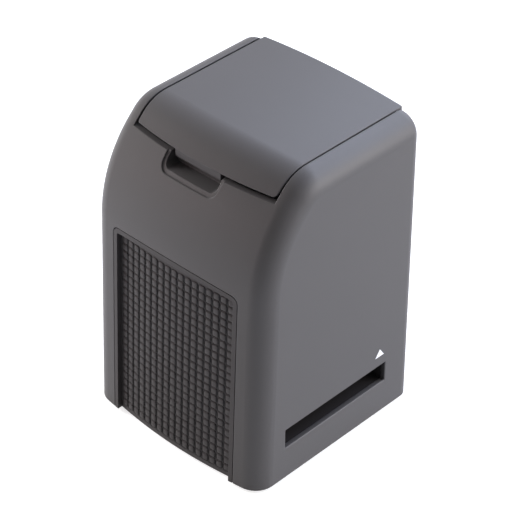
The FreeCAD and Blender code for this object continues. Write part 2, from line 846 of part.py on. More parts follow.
def plate(name, wide, deep, low, high, middle="axis_back"):
    """A flat block centred from side to side, and on a place in depth."""
    return block(name, f"-({wide}) / 2", f"({wide}) / 2", f"{middle} - ({deep}) / 2",
                 f"{middle} + ({deep}) / 2", low, high)


parts["light_box"] = cut(
    "light_box", plate("tray", "light_width", "light_depth", "wall", LIGHT_TOP),
    plate("tray_space", "light_width - 2 * light_wall", "light_depth - 2 * light_wall",
          LIGHT_FLOOR, f"{LIGHT_TOP} + overrun"))
parts["backlight_board"] = plate(
    "backlight_board", "light_width - 2 * light_wall - seam", "light_depth - 2 * light_wall - seam",
    LIGHT_FLOOR, LAMP_LOW)
lamp_row_shares = (-1.5, -0.5, 0.5, 1.5)
lamp_column_shares = (-1, 0, 1)
lamps = []
for across in lamp_row_shares:
    for along in lamp_column_shares:
        x = f"({across} * led_pitch)"
        y = f"(axis_back + {along} * led_pitch)"
        lamps.append(block(f"lamp_{len(lamps)}", f"{x} - led_wide / 2", f"{x} + led_wide / 2",
                           f"{y} - led_deep / 2", f"{y} + led_deep / 2", LAMP_LOW, f"{LAMP_LOW} + led_tall"))
parts["backlight_lamps"] = group("backlight_lamps", lamps)
parts["diffuser"] = plate("diffuser", "light_width", "light_depth", LIGHT_TOP,
                          f"{LIGHT_TOP} + diffuser_thick")


# Film guides: two channels that meet and make the tunnel for the holder. The
# lower one stands on the base between the screw posts.

TUNNEL_FRONT = f"({SLOT_FRONT} - guide_ease)"
TUNNEL_BACK = f"({SLOT_BACK} + guide_ease)"
TUNNEL_TOP = f"({SLOT_TOP} + guide_ease)"
TOWER_LOW = f"({TUNNEL_TOP} + guide_wall)"
GUIDE_LOW = f"({TUNNEL_LOW} - guide_wall)"
GUIDE_SPLIT = "(slot_low + guide_split)"
LEG_HALF = f"({POST_X} - post_wide / 2 - guide_leg_in)"


def rails(name, half, low, high):
    """Two walls along the tunnel, in front of it and behind it."""
    return [
        block(name + "_front", f"-{half}", half, f"{TUNNEL_FRONT} - guide_wall", TUNNEL_FRONT, low, high),
        block(name + "_back", f"-{half}", half, TUNNEL_BACK, f"{TUNNEL_BACK} + guide_wall", low, high),
    ]


def guide(name, floor_low, floor_high, *walls):
    """Half of the film tunnel, with a window for the light."""
    floor = block(name + "_floor", f"-{HALF}", HALF, f"{TUNNEL_FRONT} - guide_wall",
                  f"{TUNNEL_BACK} + guide_wall", floor_low, floor_high)
    gate = plate(name + "_gate", "gate_width", "gate_depth", floor_low, floor_high)
    return common(name, plug_form, cut(name + "_channel", fuse(name + "_walls", floor, *walls), gate))


parts["film_guide_lower"] = guide(
    "film_guide_lower", GUIDE_LOW, TUNNEL_LOW, *rails("lower_rail", HALF, GUIDE_LOW, GUIDE_SPLIT),
    *rails("guide_leg", LEG_HALF, "wall", GUIDE_LOW))
parts["film_guide_upper"] = guide(
    "film_guide_upper", TUNNEL_TOP, TOWER_LOW, *rails("upper_rail", HALF, GUIDE_SPLIT, TOWER_LOW))


# Camera above the film: a light-tight tower, the lens in its mount, and the
# sensor on its board. The tower fills the height that the boards leave.

KEY_REST = f"({DECK_LOW} - key_slack - key_brim)"
PLUNGER_TOP = f"({KEY_REST} - key_slack - key_travel)"
KEY_BOARD_TOP = f"({PLUNGER_TOP} - plunger_tall - switch_tall)"
KEY_BOARD_LOW = f"({KEY_BOARD_TOP} - board_thick)"
MAIN_TOP = f"({KEY_BOARD_LOW} - main_room)"
MAIN_LOW = f"({MAIN_TOP} - main_thick)"
MOUNT_TOP = f"({MAIN_LOW} - standoff_tall)"
MOUNT_LOW = f"({MOUNT_TOP} - mount_thick)"
SENSOR_LOW = f"({MOUNT_TOP} + sensor_rise)"
SENSOR_TOP = f"({SENSOR_LOW} + board_thick)"
BARREL_LOW = f"({MOUNT_LOW} - barrel_drop)"


def taper(name, inset):
    """The tower's form, wide at the film and narrow at the lens."""
    wedge = doc.addObject("Part::Wedge", name)
    wedge.Placement = Placement(Vector(), Rotation(Vector(1, 0, 0), 90))
    bind(wedge, {
        "Xmin": f"{inset} - tower_width / 2",
        "Xmax": f"tower_width / 2 - {inset}",
        "Zmin": f"{inset} - tower_depth / 2",
        "Zmax": f"tower_depth / 2 - {inset}",
        "X2min": f"{inset} - tower_top / 2",
        "X2max": f"tower_top / 2 - {inset}",
        "Z2min": f"{inset} - tower_top / 2",
        "Z2max": f"tower_top / 2 - {inset}",
        "Ymin": "0",
        "Ymax": f"{MOUNT_LOW} - {TOWER_LOW}",
    })
    return put(wedge, "0", "axis_back", TOWER_LOW)


parts["optics_tower"] = cut("optics_tower", taper("tower_out", "0"), taper("tower_in", "tower_wall"))
STANDOFFS = four_corners("(mount_side / 2 - standoff_round)", "(axis_back - standoff_deep)",
                         "(axis_back + standoff_deep)")
PILLARS = four_corners("sensor_hole", "(axis_back - sensor_hole)", "(axis_back + sensor_hole)")


def board_holes(name, places, top):
    """Screw holes down through a board from its top and into what holds it."""
    return [
        rod(f"{name}_{spot}", "Z", "screw_round", x, y, f"{top} - small_long", "small_long")
        for spot, x, y in places
    ]


main_holes = board_holes("main_hole", STANDOFFS, MAIN_TOP)
sensor_holes = board_holes("sensor_hole", PILLARS, SENSOR_TOP)
standoffs = [
    rod("standoff_" + spot, "Z", "standoff_round", x, y, MOUNT_TOP, "standoff_tall")
    for spot, x, y in STANDOFFS
]
pillars = [
    rod("pillar_" + spot, "Z", "pillar_round", x, y, MOUNT_TOP, "sensor_rise")
    for spot, x, y in PILLARS
]
mount_block = fuse("mount_block", plate("mount_plate", "mount_side", "mount_side", MOUNT_LOW, MOUNT_TOP),
                   *standoffs, *pillars)
mount_bore = rod("mount_bore", "Z", "barrel_out", "0", "axis_back", MOUNT_LOW, "mount_thick")
parts["lens_mount"] = cut("lens_mount", mount_block, mount_bore, *main_holes, *sensor_holes)
sensor_blank = plate("sensor_blank", "sensor_side", "sensor_side", SENSOR_LOW, SENSOR_TOP)
parts["sensor_board"] = cut("sensor_board", sensor_blank, *sensor_holes)
parts["image_sensor"] = plate("image_sensor", "chip_side", "chip_side", f"{SENSOR_LOW} - chip_tall",
                              SENSOR_LOW)
parts["sensor_screws"] = group("sensor_screws", [
    screw("sensor_screw_" + spot, x, y, SENSOR_TOP, "small_long", False)
    for spot, x, y in PILLARS
])
parts["lens_barrel"] = cut(
    "lens_barrel", rod("barrel_tube", "Z", "barrel_out", "0", "axis_back", BARREL_LOW, "barrel_tall"),
    rod("barrel_bore", "Z", "barrel_in", "0", "axis_back", BARREL_LOW, "barrel_tall"))


def lens(name, low):
    """A glass disc with one domed face, at home in the barrel's bore."""
    disc = rod(name + "_disc", "Z", "barrel_in", "0", "axis_back", low, "lens_thick")
    dome = doc.addObject("Part::Sphere", name + "_dome")
    bind(dome, {"Radius": "lens_curve"})
    put(dome, "0", "axis_back", f"({low} + lens_thick - lens_curve)")
    return common(name, disc, dome)


parts["lens_lower"] = lens("lens_lower", f"{BARREL_LOW} + lens_thick")
parts["lens_upper"] = lens("lens_upper", f"{BARREL_LOW} + barrel_tall - 2 * lens_thick")


# Main board on the standoffs, with the sockets that the rear cover shows:
# the card's at one end, the video jack at the other, and USB between them.

MAIN_HALF = f"({CHEEK_IN} - flange_wide - main_side)"
MOUTH = f"({BACK} - socket_in)"
CARD_LEFT = f"(socket_side - {MAIN_HALF})"
CARD_RIGHT = f"({CARD_LEFT} + card_wide)"
JACK_LEFT = f"({MAIN_HALF} - socket_side - jack_side)"
USB_LEFT = f"({CARD_RIGHT} + usb_share * ({JACK_LEFT} - {CARD_RIGHT} - usb_wide))"
RIBBON_LEFT = f"({CARD_RIGHT} + ribbon_side)"
RIBBON_BACK = f"({MOUTH} - jack_deep - ribbon_ahead)"

main_blank = block("main_blank", f"-{MAIN_HALF}", MAIN_HALF, f"{FRONT} + main_ahead", BAY_BACK,
                   MAIN_LOW, MAIN_TOP)
parts["main_board"] = cut("main_board", main_blank, *main_holes)
parts["board_screws"] = group("board_screws", [
    screw("board_screw_" + spot, x, y, MAIN_TOP, "small_long", False)
    for spot, x, y in STANDOFFS
])
parts["board_chips"] = group("board_chips", [
    plate("processor", "chip_wide", "chip_wide", MAIN_TOP, f"{MAIN_TOP} + chip_tall"),
    block("memory", f"wall - {MAIN_HALF}", f"wall - {MAIN_HALF} + memory_wide",
          "axis_back - memory_wide / 2", "axis_back + memory_wide / 2", MAIN_TOP, f"{MAIN_TOP} + chip_tall"),
])
card_case = block("card_case", CARD_LEFT, CARD_RIGHT, f"{MOUTH} - card_deep", MOUTH,
                  MAIN_TOP, f"{MAIN_TOP} + card_tall")
card_middle = f"({CARD_LEFT} + card_wide / 2)"
card_space = block("card_space", f"{card_middle} - card_slot / 2", f"{card_middle} + card_slot / 2",
                   f"{MOUTH} - card_deep + usb_skin", f"{MOUTH} + overrun",
                   f"{MAIN_TOP} + (card_tall - card_slit) / 2", f"{MAIN_TOP} + (card_tall + card_slit) / 2")
parts["card_socket"] = cut("card_socket", card_case, card_space)
usb_case = block("usb_case", USB_LEFT, f"{USB_LEFT} + usb_wide", f"{MOUTH} - usb_deep", MOUTH,
                 MAIN_TOP, f"{MAIN_TOP} + usb_tall")
usb_space = block("usb_space", f"{USB_LEFT} + usb_skin", f"{USB_LEFT} + usb_wide - usb_skin",
                  f"{MOUTH} - usb_deep + usb_skin", f"{MOUTH} + overrun",
                  f"{MAIN_TOP} + usb_skin", f"{MAIN_TOP} + usb_tall - usb_skin")
usb_tongue = block("usb_tongue", f"{USB_LEFT} + usb_wide / 4", f"{USB_LEFT} + usb_wide * 3 / 4",
                   f"{MOUTH} - usb_deep + usb_skin", f"{MOUTH} - usb_skin",
                   f"{MAIN_TOP} + usb_tall / 2 - usb_skin", f"{MAIN_TOP} + usb_tall / 2 + usb_skin")
parts["usb_socket"] = fuse("usb_socket", cut("usb_shell", usb_case, usb_space), usb_tongue)
jack_case = block("jack_case", JACK_LEFT, f"{JACK_LEFT} + jack_side", f"{MOUTH} - jack_deep", MOUTH,
                  MAIN_TOP, f"{MAIN_TOP} + jack_side")
jack_bore = rod("jack_bore", "Y", "jack_round", f"{JACK_LEFT} + jack_side / 2",
                f"{MOUTH} - jack_deep + usb_skin", f"{MAIN_TOP} + jack_side / 2", "jack_deep")
parts["video_jack"] = cut("video_jack", jack_case, jack_bore)
parts["display_ribbon"] = block(
    "display_ribbon", RIBBON_LEFT, f"{RIBBON_LEFT} + ribbon_wide", f"{RIBBON_BACK} - ribbon_thick",
    RIBBON_BACK, MAIN_TOP, f"{DECK_TOP} + ribbon_proud")


# Rear cover, let into the back under the lid, held behind the case's edges
# by a flange on each side, with a hole for each socket.

rear_skin = common("rear_skin", hollow, block(
    "rear_block", f"seam - {CHEEK_IN}", f"{CHEEK_IN} - seam", f"{BACK} / 2", FAR_BACK,
    "rear_low + seam", "case_height - rear_down"))
flange_blocks = both_sides("flange", f"{CHEEK_IN} - flange_wide", f"{CHEEK_IN} + flange_wide",
                           f"{BACK} / 2", FAR_BACK, "2 * wall + post_tall", f"{LEDGE_LOW} - wall")
flanges = common("flanges", cut("lining", inner_form, lining_form), fuse("flange_blocks", *flange_blocks))
SOCKETS = [
    ("card", CARD_LEFT, "card_wide", "card_tall"),
    ("usb", USB_LEFT, "usb_wide", "usb_tall"),
    ("jack", JACK_LEFT, "jack_side", "jack_side"),
]
socket_holes = [
    block(f"{name}_hole", f"{left} - socket_ease", f"{left} + {wide} + socket_ease",
          f"{BACK} / 2", FAR_BACK, f"{MAIN_TOP} - socket_ease", f"{MAIN_TOP} + {tall} + socket_ease")
    for name, left, wide, tall in SOCKETS
]
parts["rear_cover"] = cut("rear_cover", fuse("rear_plate", rear_skin, flanges), *socket_holes)


# Deck under the lid: the key plate, its keys, and their board with switches.

KEY_BOARD_HALF = "(key_pitch + key_wide / 2 + key_board_side)"
KEY_BOARD_DEEP = "(key_row + key_deep / 2 + key_board_end)"
KEY_POST_IN = "(key_row + key_deep / 2 + key_flange + seam + deck_post)"
KEY_POSTS = four_corners("key_pitch", f"(-{KEY_POST_IN})", KEY_POST_IN)
KEYS = [
    ("left_key", "(-key_pitch)", "(-key_row)"),
    ("ok_key", "0", "(-key_row)"),
    ("right_key", "key_pitch", "(-key_row)"),
    ("power_key", "(-key_pitch)", "key_row"),
    ("scan_key", "0", "key_row"),
    ("mode_key", "key_pitch", "key_row"),
]


def rounded_block(name, wide, deep, x, y, low, high, corner):
    """An upright block with round corners, centred on a place."""
    half_x = value(f"({wide}) / 2")
    half_y = value(f"({deep}) / 2")
    body = new_body(name)
    sketch = new_sketch(body, "XY_Plane", name + "_plan")
    lines = closed_line(sketch, [
        Vector(-half_x, -half_y, 0),
        Vector(half_x, -half_y, 0),
        Vector(half_x, half_y, 0),
        Vector(-half_x, half_y, 0),
    ])
    limit(sketch, "Horizontal", lines[0])
    limit(sketch, "Horizontal", lines[2])
    limit(sketch, "Vertical", lines[1])
    limit(sketch, "Vertical", lines[3])
    limit(sketch, "Symmetric", lines[0], 1, lines[2], 1, -1, 1)
    limit(sketch, "DistanceX", lines[0], 1, lines[0], 2, size=wide, name="wide")
    limit(sketch, "DistanceY", lines[1], 1, lines[1], 2, size=deep, name="deep")
    pad = body.newObject("PartDesign::Pad", name + "_block")
    pad.Profile = sketch
    bind(pad, {"Length": f"{high} - ({low})"})
    settle(sketch, pad)
    uprights = edge_names(pad.Shape, lambda point: abs(abs(point.x) - half_x) < NEAR
                          and abs(abs(point.y) - half_y) < NEAR)
    round_off(body, name + "_corners", pad, uprights, corner)
    put(body, x, y, f"({low})")
    return body


deck_plate = block("deck_plate", f"seam - {CHEEK_IN}", f"{CHEEK_IN} - seam", f"{SHELF_BACK} + seam",
                   f"{BAY_BACK} - seam", DECK_LOW, DECK_TOP)
deck_posts = [
    rod("deck_post_" + spot, "Z", "deck_post", x, y, KEY_BOARD_TOP, f"{DECK_LOW} - {KEY_BOARD_TOP}")
    for spot, x, y in KEY_POSTS
]
key_holes = [
    rod("key_hole_" + spot, "Z", "screw_round", x, y, KEY_BOARD_LOW, "small_long")
    for spot, x, y in KEY_POSTS
]
windows = []
switches = []
for name, x, y in KEYS:
    windows.append(rounded_block(name + "_window", "key_wide", "key_deep", x, y, f"{DECK_LOW} - wall",
                                 f"{DECK_TOP} + wall", "key_round"))
    cap = rounded_block(name + "_cap", "key_wide - 2 * key_ease", "key_deep - 2 * key_ease", x, y,
                        KEY_REST, f"{DECK_TOP} + key_proud", "key_round - key_ease")
    cap_high = value(f"{DECK_TOP} + key_proud - {KEY_REST}")
    rim = edge_names(cap.Tip.Shape, lambda point: abs(point.z - cap_high) < NEAR)
    round_off(cap, name + "_crown", cap.Tip, rim, "key_crown")
    brim = block(name + "_brim", f"{x} - key_wide / 2 - key_flange", f"{x} + key_wide / 2 + key_flange",
                 f"{y} - key_deep / 2 - key_flange", f"{y} + key_deep / 2 + key_flange",
                 KEY_REST, f"{DECK_LOW} - key_slack")
    parts[name] = fuse(name, cap, brim)
    switch_body = block(
        name + "_switch_body", f"{x} - switch_side / 2", f"{x} + switch_side / 2",
        f"{y} - switch_side / 2", f"{y} + switch_side / 2", KEY_BOARD_TOP, f"{KEY_BOARD_TOP} + switch_tall")
    plunger = rod(name + "_plunger", "Z", "plunger_round", x, y, f"{KEY_BOARD_TOP} + switch_tall",
                  "plunger_tall")
    switches.append(fuse(name + "_switch", switch_body, plunger))
ribbon_way = block(
    "ribbon_way", f"{RIBBON_LEFT} - ribbon_ease", f"{RIBBON_LEFT} + ribbon_wide + ribbon_ease",
    f"{RIBBON_BACK} - ribbon_thick - ribbon_ease", f"{RIBBON_BACK} + ribbon_ease", f"{DECK_LOW} - wall",
    f"{DECK_TOP} + wall")
deck_sinks = [
    rod("deck_sink_" + spot, "Z", "head_round", x, y, f"{DECK_TOP} - head_tall", "head_tall")
    for spot, x, y in DECK_SCREWS
]
parts["deck_panel"] = cut("deck_panel", fuse("deck_block", deck_plate, *deck_posts), *deck_paths, *key_holes,
                          *windows, ribbon_way, *deck_sinks)
parts["deck_screws"] = group("deck_screws", [
    screw("deck_screw_" + spot, x, y, f"{DECK_TOP} - head_tall", "small_long", False)
    for spot, x, y in DECK_SCREWS
])
parts["key_board"] = cut("key_board", block(
    "key_board_blank", f"-{KEY_BOARD_HALF}", KEY_BOARD_HALF, f"-{KEY_BOARD_DEEP}", KEY_BOARD_DEEP,
    KEY_BOARD_LOW, KEY_BOARD_TOP), *key_holes)
parts["key_switches"] = group("key_switches", switches)
parts["key_screws"] = group("key_screws", [
    screw("key_screw_" + spot, x, y, KEY_BOARD_LOW, "small_long", True)
    for spot, x, y in KEY_POSTS
])


# Lid: a hollow cover with a finger lip in front and a barrel at the back,
# turning on two steel pins, with the display behind a bezel on its inside.

TAIL_FRONT = f"({HINGE_BACK} - barrel_round)"
BEZEL_BACK = f"({BACK} - bezel_in)"
BEZEL_LOW = f"({LID_EDGE} + bezel_sunk)"
BEZEL_TOP = f"({BEZEL_LOW} + bezel_thick)"
WINDOW_TOP = f"({BEZEL_TOP} + window_thick)"
DISPLAY_TOP = f"({WINDOW_TOP} + display_thick)"
DISPLAY_FRONT = f"({CREST_BACK} - display_ahead)"
DISPLAY_BACK = f"({BEZEL_BACK} - display_behind)"
DISPLAY_DEEP = f"({DISPLAY_BACK} - {DISPLAY_FRONT})"
DISPLAY_WIDE = f"(2 * ({LID_HALF} - lid_wall - display_side))"
VIEW_WIDE = f"({DISPLAY_WIDE} - 2 * view_side)"
VIEW_DEEP = f"({DISPLAY_DEEP} - 2 * view_end)"
VIEW_MIDDLE = f"(({DISPLAY_FRONT} + {DISPLAY_BACK}) / 2)"
BEZEL_SCREWS = four_corners(f"({LID_HALF} - bezel_screw_side)", f"({DISPLAY_FRONT} - bezel_screw_ahead)",
                            f"({DISPLAY_BACK} + bezel_screw_behind)")

lid_form = casing_form("lid_form", "0", "0", half_wide=LID_HALF, side="lid_bevel", corner="lid_back_bevel",
                       back=f"({LID_BACK} + case_height * tan(back_lean * 1 deg))")
lid_main = front_outline("lid_main", f"(-{LID_HALF})", LID_HALF, LID_EDGE, FAR_TOP, "lid_corner",
                         TAIL_FRONT, "case_depth + overrun")
lid_tail = block("lid_tail", f"-{LID_HALF}", LID_HALF, TAIL_FRONT, LID_BACK, HINGE_HIGH, FAR_TOP)
lid_barrel = rod("lid_barrel", "X", "barrel_round", f"-{LID_HALF}", HINGE_BACK, HINGE_HIGH,
                 f"2 * {LID_HALF}")
lid_space = common("lid_space", inner_form, block(
    "lid_space_block", f"lid_wall - {LID_HALF}", f"{LID_HALF} - lid_wall", FAR_FRONT, BEZEL_BACK,
    f"{LID_EDGE} - wall", FAR_TOP))
lid_skin = cut("lid_skin", fuse("lid_shape", lid_main, lid_tail, lid_barrel), lid_space)
lid_lip = block("lid_lip", "-lip_half - notch_aside", "lip_half - notch_aside", LIP_FRONT,
                f"{LIP_FRONT} + lip_thick", f"{LID_EDGE} - lip_drop", f"{LID_EDGE} + lid_wall")
bosses = [
    rod("lid_boss_" + spot, "Z", "boss_round", x, y, BEZEL_TOP, f"case_height - {BEZEL_TOP}")
    for spot, x, y in BEZEL_SCREWS
]
bezel_paths = [
    rod("bezel_hole_" + spot, "Z", "screw_round", x, y, BEZEL_LOW, "small_long")
    for spot, x, y in BEZEL_SCREWS
]
PIN_IN = f"({LID_HALF} + pin_out - pin_long)"
PINS = [("right", PIN_IN), ("left", f"(-{PIN_IN} - pin_long)")]
pin_bores = [
    rod("pin_bore_" + side, "X", "pin_round", x, HINGE_BACK, HINGE_HIGH, "pin_long")
    for side, x in PINS
]
lid_block = common("lid_block", lid_form, fuse("lid_all", lid_skin, lid_lip, *bosses))
parts["lid_cover"] = cut("lid_cover", lid_block, *pin_bores, *bezel_paths)
for side, x in PINS:
    name = "hinge_pin_" + side
    parts[name] = rod(name, "X", "pin_round", x, HINGE_BACK, HINGE_HIGH, "pin_long")


def washer(name, x):
    """A thin ring between the lid and the cheek beside it."""
    return cut(name, rod(name + "_disc", "X", "washer_round", x, HINGE_BACK, HINGE_HIGH, "washer_thick"),
               rod(name + "_hole", "X", "pin_round + pin_play", x, HINGE_BACK, HINGE_HIGH, "washer_thick"))


parts["hinge_washer_right"] = washer("hinge_washer_right", LID_HALF)
parts["hinge_washer_left"] = washer("hinge_washer_left", f"(-{LID_HALF} - washer_thick)")
bezel_slab = common("bezel_slab", plug_form, block(
    "bezel_block", f"lid_wall + seam - {LID_HALF}", f"{LID_HALF} - lid_wall - seam", FAR_FRONT,
    f"{BEZEL_BACK} - seam", BEZEL_LOW, BEZEL_TOP))
view_hole = plate("view_hole", VIEW_WIDE, VIEW_DEEP, BEZEL_LOW, BEZEL_TOP, VIEW_MIDDLE)
parts["lid_bezel"] = cut("lid_bezel", bezel_slab, view_hole, *bezel_paths)
parts["bezel_screws"] = group("bezel_screws", [
    screw("bezel_screw_" + spot, x, y, BEZEL_LOW, "small_long", True)
    for spot, x, y in BEZEL_SCREWS
])
parts["display_window"] = plate("display_window", f"{VIEW_WIDE} + 2 * window_edge",
                                f"{VIEW_DEEP} + 2 * window_edge", BEZEL_TOP, WINDOW_TOP, VIEW_MIDDLE)
parts["display_panel"] = plate("display_panel", DISPLAY_WIDE, DISPLAY_DEEP, WINDOW_TOP, DISPLAY_TOP,
                               VIEW_MIDDLE)
parts["display_driver"] = plate("display_driver", f"{DISPLAY_WIDE} - 2 * driver_side",
                                f"{DISPLAY_DEEP} - 2 * driver_end", DISPLAY_TOP,
                                f"{DISPLAY_TOP} + driver_thick", VIEW_MIDDLE)

for name, thing in parts.items():
    thing.Label = name
doc.recompute()

faults = [thing.Name for thing in doc.Objects if {"Invalid", "Error"} & set(thing.State)]
faults += [name for name, thing in parts.items() if thing.Shape.isNull() or not thing.Shape.isValid()]
if faults:
    raise RuntimeError("objects that failed: " + ", ".join(faults))
os.makedirs("parts", exist_ok=True)
for name, thing in parts.items():
    thing.Shape.exportStep("parts/" + name + ".step")
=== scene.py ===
import math

import bpy
from mathutils import Matrix, Vector


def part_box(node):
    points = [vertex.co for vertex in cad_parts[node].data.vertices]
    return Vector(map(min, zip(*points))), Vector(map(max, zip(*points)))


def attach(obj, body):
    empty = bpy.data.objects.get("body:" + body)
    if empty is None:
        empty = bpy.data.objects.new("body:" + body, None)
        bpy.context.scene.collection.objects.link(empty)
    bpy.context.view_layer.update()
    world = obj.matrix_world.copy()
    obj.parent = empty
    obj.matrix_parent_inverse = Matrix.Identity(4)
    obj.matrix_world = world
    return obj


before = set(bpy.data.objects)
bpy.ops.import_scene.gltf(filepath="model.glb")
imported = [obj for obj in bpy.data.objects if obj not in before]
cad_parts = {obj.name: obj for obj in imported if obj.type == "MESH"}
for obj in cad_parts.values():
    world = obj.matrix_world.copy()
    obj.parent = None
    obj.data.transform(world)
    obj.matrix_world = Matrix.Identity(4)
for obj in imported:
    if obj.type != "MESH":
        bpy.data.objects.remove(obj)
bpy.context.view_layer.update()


# The view. A long lens looks down on the case's front right corner from about a
# metre away, so the upright edges converge only a little. The angles and the
# lens come from the case's own edges.
view_azimuth = math.radians(43.03)
view_elevation = math.radians(36.20)
view_roll = math.radians(0.92)
view_place = Vector((0.5356, -0.5725, 0.6602))
lens_data = bpy.data.cameras.new("camera")
lens_data.sensor_width = 36.0
lens_data.lens = 162.57
lens_data.shift_x = 0.0084
lens_data.shift_y = -0.0513
lens_data.clip_end = 20.0
camera = bpy.data.objects.new("camera", lens_data)
bpy.context.scene.collection.objects.link(camera)
camera.matrix_world = (
    Matrix.Translation(view_place)
    @ Matrix.Rotation(view_azimuth, 4, "Z")
    @ Matrix.Rotation(math.pi / 2 - view_elevation, 4, "X")
    @ Matrix.Rotation(view_roll, 4, "Z")
)
bpy.context.scene.camera = camera
bpy.context.scene.view_settings.view_transform = "Standard"


# The room. White surroundings are seen in the plastic's faint gloss. A large soft
# box hangs high behind the case. Weaker ones stand behind it to the right, in
# front, and to its left, and the left one lights it without a glare on the bow.
case_middle = Vector((0, 0, 0.07))
world_fill = 0.06
world = bpy.data.worlds.new("studio")
bpy.context.scene.world = world
world.use_nodes = True
sky = world.node_tree.nodes
sky_links = world.node_tree.links
rays = sky.new("ShaderNodeLightPath")


def seen_directly(tree, light_path):
    """One where the eye, a reflection or a clear material looks, otherwise zero."""
    first = tree.nodes.new("ShaderNodeMath")
    first.operation = "MAXIMUM"
    tree.links.new(light_path.outputs["Is Camera Ray"], first.inputs[0])
    tree.links.new(light_path.outputs["Is Glossy Ray"], first.inputs[1])
    both = tree.nodes.new("ShaderNodeMath")
    both.operation = "MAXIMUM"
    tree.links.new(first.outputs[0], both.inputs[0])
    tree.links.new(light_path.outputs["Is Transmission Ray"], both.inputs[1])
    return both.outputs[0]


level = sky.new("ShaderNodeMapRange")
level.inputs["To Min"].default_value = world_fill
level.inputs["To Max"].default_value = 1.0
sky_links.new(seen_directly(world.node_tree, rays), level.inputs["Value"])
sky["Background"].inputs["Color"].default_value = (1, 1, 1, 1)
sky_links.new(level.outputs["Result"], sky["Background"].inputs["Strength"])


def soft_box(name, place, width, height, power, colour, glare=True):
    """A flat lamp that faces the case, with or without a reflection in the gloss."""
    lamp = bpy.data.lights.new(name, "AREA")
    lamp.shape = "RECTANGLE"
    lamp.size = width
    lamp.size_y = height
    lamp.energy = power
    lamp.color = colour
    holder = bpy.data.objects.new(name, lamp)
    bpy.context.scene.collection.objects.link(holder)
    holder.location = place
    holder.visible_glossy = glare
    holder.rotation_euler = (case_middle - Vector(place)).to_track_quat("-Z", "Y").to_euler()


soft_box("box_behind", (0.15, 1.5, 1.35), 2.6, 0.8, 80.0, (0.74, 0.81, 1.0))
soft_box("box_right", (1.2, 0.8, 0.45), 0.9, 0.8, 21.0, (1.0, 0.97, 0.97))
soft_box("box_left", (-1.42, -0.45, 0.52), 0.7, 0.8, 41.0, (0.99, 0.98, 0.97), glare=False)
soft_box("box_front", (-0.9, -1.25, 0.6), 0.8, 0.8, 4.5, (1.0, 0.75, 0.75))


# The floor: a wide pale sheet under the rubber feet, lit to nearly white, which
# keeps the case's soft shadow.
floor_pale = (0.56, 0.56, 0.56, 1)
floor_lift = 0.72
bpy.ops.object.select_all(action="DESELECT")
bpy.ops.mesh.primitive_plane_add(size=8.0, location=(0, 0, 0))
floor = bpy.context.object
floor.name = "floor"
floor_paint = bpy.data.materials.new("floor_paper")
floor_paint.use_nodes = True
floor_tree = floor_paint.node_tree
paper = floor_tree.nodes["Principled BSDF"]
paper.inputs["Base Color"].default_value = floor_pale
paper.inputs["Roughness"].default_value = 0.9
paper.inputs["Specular IOR Level"].default_value = 0.1
paper.inputs["Emission Color"].default_value = (1, 1, 1, 1)
floor_rays = floor_tree.nodes.new("ShaderNodeLightPath")
lift = floor_tree.nodes.new("ShaderNodeMath")
lift.operation = "MULTIPLY"
lift.inputs[1].default_value = floor_lift
floor_tree.links.new(seen_directly(floor_tree, floor_rays), lift.inputs[0])
floor_tree.links.new(lift.outputs[0], paper.inputs["Emission Strength"])
floor.data.materials.append(floor_paint)


# Case: outer shell, rear cover and lid, moulded in anthracite plastic with a
# fine satin grain. Sharp corners of a moulding are never quite sharp, so the
# skin rounds them a little in its shading, and lightens their colour a touch
# along every edge and crease: partly wear from handling, partly a painted highlight.
def new_group(name, takes, gives):
    """An empty node group with named sockets: (name, kind, value) and (name, kind)."""
    group = bpy.data.node_groups.new(name, "ShaderNodeTree")
    for socket, kind, start in takes:
        made = group.interface.new_socket(socket, in_out="INPUT", socket_type=kind)
        made.default_value = start
    for socket, kind in gives:
        group.interface.new_socket(socket, in_out="OUTPUT", socket_type=kind)
    return group, group.nodes.new("NodeGroupInput"), group.nodes.new("NodeGroupOutput")


cloud_scale = 45.0
grain_high = 0.00003
# Edge lightening: how far a pale grey is screened over the colour at edges and creases, partly wear
# and partly a painted highlight.
wear_and_highlight_starts = 0.995
wear_and_highlight_full = 0.8
wear_and_highlight_most = 0.1
wear_and_highlight_colour = (0.25, 0.25, 0.26, 1)
matt_change = 0.04
COLOUR = "NodeSocketColor"
NUMBER = "NodeSocketFloat"
VECTOR = "NodeSocketVector"
skin, skin_in, skin_out = new_group("moulded_skin", [
    ("Colour", COLOUR, (0.1, 0.1, 0.1, 1)),
    ("Roughness", NUMBER, 0.45),
    ("Grain size", NUMBER, 0.0004),
    ("Grain depth", NUMBER, 0.3),
    ("Corner", NUMBER, 0.0004),
    ("Shade", NUMBER, 0.08),
], [("Colour", COLOUR), ("Roughness", NUMBER), ("Normal", VECTOR)])
place = skin.nodes.new("ShaderNodeTexCoord")
per_metre = skin.nodes.new("ShaderNodeMath")
per_metre.operation = "DIVIDE"
per_metre.inputs[0].default_value = 1.0
grain = skin.nodes.new("ShaderNodeTexNoise")
grain.inputs["Detail"].default_value = 3.0
cloud = skin.nodes.new("ShaderNodeTexNoise")
cloud.inputs["Scale"].default_value = cloud_scale
cloud.inputs["Detail"].default_value = 4.0
bend = skin.nodes.new("ShaderNodeBevel")
bend.samples = 6
bump = skin.nodes.new("ShaderNodeBump")
bump.inputs["Distance"].default_value = grain_high
face = skin.nodes.new("ShaderNodeNewGeometry")
turn = skin.nodes.new("ShaderNodeVectorMath")
turn.operation = "DOT_PRODUCT"
edge = skin.nodes.new("ShaderNodeMapRange")
edge.inputs["From Min"].default_value = wear_and_highlight_starts
edge.inputs["From Max"].default_value = wear_and_highlight_full
edge.inputs["To Max"].default_value = wear_and_highlight_most
shade_range = skin.nodes.new("ShaderNodeMapRange")
shade_low = skin.nodes.new("ShaderNodeMath")
